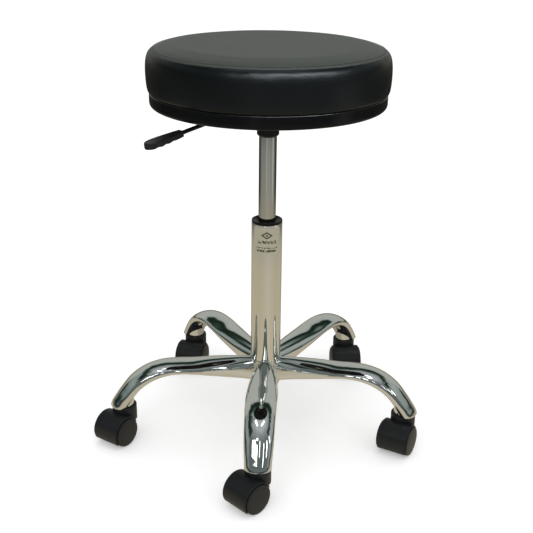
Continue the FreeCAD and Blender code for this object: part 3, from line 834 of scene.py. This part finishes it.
# frame["nodes"] may be a dict of objects or only a list of names
kept_objects = frame["nodes"] if isinstance(frame["nodes"], dict) else bpy.data.objects
for material, names in KEPT:
    for name in names:
        materials = kept_objects[name].data.materials
        materials.clear()
        materials.append(material)

# ---------------------------------------------------------------- floor
scene = bpy.context.scene
scene.view_settings.view_transform = "Standard"

FLOOR_HALF = 7.0          # metres
# Painted reflected floor colour against distance from the stool, 1 = FLOOR_REACH metres
FLOOR_REACH = 4.0
FLOOR_STOPS = [
    (0.0, (0.51, 0.455, 0.34)), (0.20, (0.46, 0.42, 0.32)), (0.30, (0.36, 0.35, 0.31)),
    (0.42, (0.31, 0.32, 0.315)), (0.50, (0.33, 0.34, 0.33)), (0.56, (0.10, 0.11, 0.10)),
    (0.69, (0.075, 0.085, 0.075)), (0.86, (0.17, 0.18, 0.17)), (1.0, (0.25, 0.26, 0.25))]


def floor_material():
    """Pale floor; to reflections it glows with a painted reflection of the room: warm near the stool,
    greyer far off, with soft streaks.
    """
    m = Material("floor_pale")
    rays = m.add("ShaderNodeLightPath").outputs
    glossy = rays["Is Glossy Ray"]
    x, y, _ = m.from_axis()
    radius = m.radius(x, y)
    azimuth = m.azimuth(x, y)
    ground = m.ramp(m.times(radius, 1 / FLOOR_REACH), FLOOR_STOPS)
    off_front = m.math("ABSOLUTE", azimuth)
    far = m.smoothstep(radius, start=0.95, end=1.3)
    # pale streaks of painted reflection to the right and just left of the front, and a faint wide
    # patch
    streak = m.math("ADD", m.lobe(azimuth, centre=1.24, width=0.24, gain=0.55),
                    m.lobe(azimuth, centre=-0.22, width=0.10, gain=0.40))
    streak = m.math("ADD", m.times(streak, far),
                    m.lobe(azimuth, centre=0.25, width=0.9, gain=0.10))
    # painted shade: darker at the sides far off, and behind the stool at any distance
    shade = m.times(m.smoothstep(off_front, start=1.45, end=2.0), m.times(far, 0.86))
    behind = m.times(m.smoothstep(off_front, start=2.1, end=2.8), 0.42)
    shade = m.math("MAXIMUM", shade, behind)
    ground = m.mix(streak, ground, (1.0, 1.0, 1.0))
    ground = m.mix(shade, ground, (0.05, 0.05, 0.035))
    lift = m.times(rays["Is Camera Ray"], 0.28)
    return m.set(Base_Color=m.mix(glossy, (0.93, 0.93, 0.93), (0.0, 0.0, 0.0)),
                 Roughness=0.9, Specular_IOR_Level=0.0,
                 Emission_Color=m.mix(glossy, (1.0, 1.0, 1.0), ground),
                 Emission_Strength=m.math("MAXIMUM", lift, glossy))


floor_mesh = bpy.data.meshes.new("floor")
floor_corners = [(x * FLOOR_HALF, y * FLOOR_HALF, 0) for x, y in ((-1, -1), (1, -1), (1, 1), (-1, 1))]
floor_mesh.from_pydata(floor_corners, [], [(0, 1, 2, 3)])
floor = bpy.data.objects.new("floor", floor_mesh)
scene.collection.objects.link(floor)
floor_mesh.materials.append(floor_material())

# ---------------------------------------------------------------- world
# What reflections see of the room, against elevation: 0 horizon, 1 overhead
CEILING = (0.50, 0.53, 0.54)
FRONT_STOPS = [
    (0.0, (0.10, 0.11, 0.10)), (0.04, (0.03, 0.04, 0.035)), (0.10, (0.10, 0.12, 0.115)),
    (0.16, (0.17, 0.20, 0.195)), (0.34, (0.13, 0.155, 0.15)), (0.50, (0.16, 0.19, 0.18)),
    (0.60, (0.24, 0.27, 0.27)), (0.74, (0.34, 0.37, 0.38)), (0.80, CEILING), (1.0, CEILING)]
BACK_STOPS = [
    (0.0, (0.42, 0.40, 0.34)), (0.06, (0.47, 0.48, 0.43)), (0.30, (0.49, 0.51, 0.47)),
    (0.39, (0.42, 0.45, 0.42)), (0.43, (0.03, 0.05, 0.035)), (0.49, (0.008, 0.018, 0.012)),
    (0.55, (0.03, 0.055, 0.04)), (0.58, (0.12, 0.16, 0.14)), (0.63, (0.30, 0.33, 0.33)),
    (0.80, CEILING), (1.0, CEILING)]
LEFT_STOPS = [
    (0.0, (0.20, 0.19, 0.15)), (0.05, (0.03, 0.04, 0.03)), (0.12, (0.012, 0.026, 0.018)),
    (0.16, (0.20, 0.25, 0.235)), (0.34, (0.34, 0.39, 0.37)), (0.44, (0.22, 0.26, 0.25)),
    (0.50, (0.012, 0.026, 0.018)), (0.62, (0.03, 0.045, 0.04)), (0.72, (0.34, 0.37, 0.37)),
    (0.82, CEILING), (1.0, CEILING)]
RIGHT_STOPS = [
    (0.0, (0.24, 0.23, 0.18)), (0.06, (0.03, 0.04, 0.03)), (0.11, (0.02, 0.035, 0.026)),
    (0.15, (0.30, 0.34, 0.33)), (0.40, (0.44, 0.48, 0.46)), (0.50, (0.26, 0.30, 0.28)),
    (0.53, (0.012, 0.026, 0.018)), (0.60, (0.03, 0.045, 0.04)), (0.66, (0.34, 0.37, 0.37)),
    (0.82, CEILING), (1.0, CEILING)]


def build_world(world):
    """Plain white to the eye; a room of four walls to reflections."""
    world.use_nodes = True
    w = Graph(world.node_tree, "Generated")
    x, y, z = w.xyz(w.position)
    azimuth = w.azimuth(x, y)
    elevation = w.times(w.math("ARCSINE", z), 2 / math.pi)
    wobble = w.spread(w.noise(scale=7.0, detail=4.0), low=-0.12, high=0.12)
    uneven = w.math("ADD", elevation, wobble)
    front = w.ramp(uneven, FRONT_STOPS)
    back = w.ramp(w.math("ADD", elevation, w.times(wobble, 0.55)), BACK_STOPS)
    sides = w.mix(w.smoothstep(azimuth, start=-0.2, end=0.2),
                  w.ramp(uneven, LEFT_STOPS), w.ramp(uneven, RIGHT_STOPS))
    off_front = w.math("ABSOLUTE", azimuth)
    room = w.mix(w.smoothstep(off_front, start=0.95, end=1.15), front, sides)
    room = w.mix(w.smoothstep(off_front, start=2.15, end=2.3), room, back)
    rays = w.add("ShaderNodeLightPath").outputs
    colour = w.mix(rays["Is Glossy Ray"], (1.0, 1.0, 1.0), room)
    strength = w.math("ADD", w.times(rays["Is Camera Ray"], 0.35), 0.85)
    background = w.add("ShaderNodeBackground", {0: colour, 1: strength})
    w.add("ShaderNodeOutputWorld", {0: background.outputs[0]})


scene.world = scene.world or bpy.data.worlds.new("studio")
build_world(scene.world)


# ---------------------------------------------------------------- lights
def area(name, location, target, width, height, power, colour):
    light = bpy.data.lights.new(name, "AREA")
    light.energy = power
    light.color = colour
    light.shape = "RECTANGLE"
    light.size = width
    light.size_y = height
    ob = bpy.data.objects.new(name, light)
    ob.location = location
    aim = Vector(target) - Vector(location)
    ob.rotation_euler = aim.to_track_quat("-Z", "Y").to_euler()
    scene.collection.objects.link(ob)
    return ob


# Panes round the stool: azimuth (0 towards the camera, + right) and elevation in degrees,
# width, height, radiance, distance in metres
PANES = [
    ("window_a", -34.0, 36.0, 0.22, 0.62, 3.0, 2.6), ("window_b", -24.0, 38.0, 0.26, 0.66, 3.6, 2.6),
    ("window_c", -12.5, 36.0, 0.24, 0.40, 3.6, 2.6), ("window_d", -12.0, 48.0, 0.26, 0.22, 3.0, 2.6),
    ("window_e", 3.0, 40.0, 0.10, 0.50, 2.6, 2.6), ("window_f", 24.0, 33.0, 0.10, 0.60, 4.0, 2.6),
    ("window_g", 42.0, 31.0, 0.14, 0.62, 4.0, 2.6), ("window_h", 62.0, 30.0, 0.20, 0.60, 3.6, 2.6),
    ("ceiling_a", -60.0, 76.0, 0.60, 0.16, 5.0, 2.4), ("ceiling_b", 48.0, 77.0, 0.60, 0.16, 5.0, 2.4),
    ("ceiling_c", 170.0, 84.0, 1.1, 0.12, 4.0, 2.4)]
PANE_TARGET = (AXIS_X, AXIS_Y, 0.15)

for name, azimuth, elevation, width, height, radiance, distance in PANES:
    a, e = math.radians(azimuth), math.radians(elevation)
    location = (AXIS_X + distance * math.cos(e) * math.sin(a),
                AXIS_Y - distance * math.cos(e) * math.cos(a),
                PANE_TARGET[2] + distance * math.sin(e))
    area(name, location, PANE_TARGET, width, height,
         power=radiance * math.pi * width * height, colour=(0.95, 0.98, 1.0))

# a soft panel that lights only the cushion and its ring, for the sheen along their edges
sheen = area("seat_panel", (AXIS_X + 0.75, AXIS_Y - 1.70, 1.88), (AXIS_X, AXIS_Y - 0.15, 0.63),
             width=3.2, height=0.45, power=82.0, colour=(0.84, 0.92, 1.0))
seat_only = bpy.data.collections.new("seat_only")
seat_only.objects.link(cushion)
seat_only.objects.link(ring)
sheen.light_linking.receiver_collection = seat_only

# ---------------------------------------------------------------- camera
CAMERA_PITCH = 0.3845     # radians below the horizon
CAMERA_ROLL = 0.0117
CAMERA_DISTANCE = 1.3983  # metres in front of the axis
CAMERA_HEIGHT = 0.8477

camera_data = bpy.data.cameras.new("camera")
camera_data.sensor_width = 36.0
camera_data.lens = 62.04090056
camera_data.clip_start = 0.05
camera = bpy.data.objects.new("camera", camera_data)
forward = Vector((0, math.cos(CAMERA_PITCH), -math.sin(CAMERA_PITCH)))
level = Vector((1, 0, 0))
upright = level.cross(forward)
right = level * math.cos(CAMERA_ROLL) + upright * math.sin(CAMERA_ROLL)
up = upright * math.cos(CAMERA_ROLL) - level * math.sin(CAMERA_ROLL)
turn = Matrix((right, up, -forward)).transposed().to_4x4()
place = Matrix.Translation((AXIS_X, AXIS_Y - CAMERA_DISTANCE, CAMERA_HEIGHT))
camera.matrix_world = place @ turn
scene.collection.objects.link(camera)
scene.camera = camera
